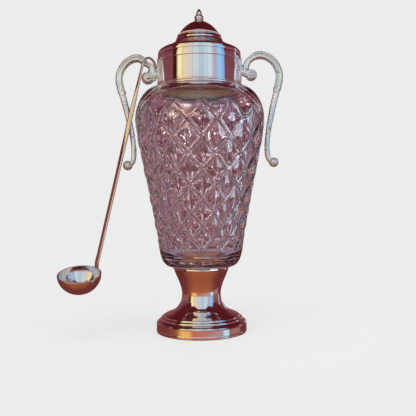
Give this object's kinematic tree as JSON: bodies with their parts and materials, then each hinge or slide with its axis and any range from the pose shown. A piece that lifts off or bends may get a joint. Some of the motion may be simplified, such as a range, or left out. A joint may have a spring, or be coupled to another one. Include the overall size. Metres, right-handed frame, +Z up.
{
  "type": "punch bowl",
  "caption": "Lidded pedestal punch bowl of diamond-cut glass with plated metal collar, scroll handles, domed lid, footed base and a hooked ladle.",
  "frame": {"origin": "centre of the foot's flat underside, on the vessel's axis, at table level", "axes": "+Z up along the vessel's axis; +X to the right handle; the ladle hangs on the -X handle, tilted to the front, -Y"},
  "size_m": [0.3238, 0.188, 0.4687],
  "materials": {
    "cut_glass": "diamond-cut, clear with a faint rose tint",
    "plated_band": "bright silver plate, lightly worn",
    "cast_plate": "cast silver plate with dark patina in the recesses",
    "plated_foot": "spun silver plate, warm tone, lightly worn",
    "plated_ladle": "bright silver plate, warm tone",
    "plaster": "set plaster, rough",
    "steel": "plain",
    "felt": "green baize"
  },
  "bodies": {
    "vessel": {"glass_vessel": "cut_glass", "neck_collar": "plated_band", "collar_base_ring": "plated_band", "collar_cement": "plaster", "left_handle_plate": "cast_plate", "right_handle_plate": "cast_plate", "left_handle": "cast_plate", "right_handle": "cast_plate", "handle_screws": "steel", "foot_shell": "plated_foot", "foot_seat_cup": "plated_foot", "seat_cement": "plaster", "foot_tie_rod": "steel", "foot_washer": "steel", "foot_nut": "steel", "base_plate": "steel", "base_felt": "felt"},
    "lid": {"lid_shell": "plated_band", "lid_bead_ring": "plated_band", "lid_inner_flange": "plated_band", "finial": "plated_band", "finial_stud": "steel", "finial_washer": "steel", "finial_nut": "steel"},
    "ladle": {"ladle_bowl": "plated_ladle", "ladle_shoe": "plated_ladle", "ladle_stem": "plated_ladle"}
  },
  "joints": [
    {"name": "lid_lift", "type": "slide", "parent": "vessel", "child": "lid", "axis": [0, 0, 1], "range_m": [0, 0.12]},
    {"name": "ladle_lift", "type": "slide", "parent": "vessel", "child": "ladle", "axis": [0, 0, 1], "range_m": [0, 0.12]}
  ]
}
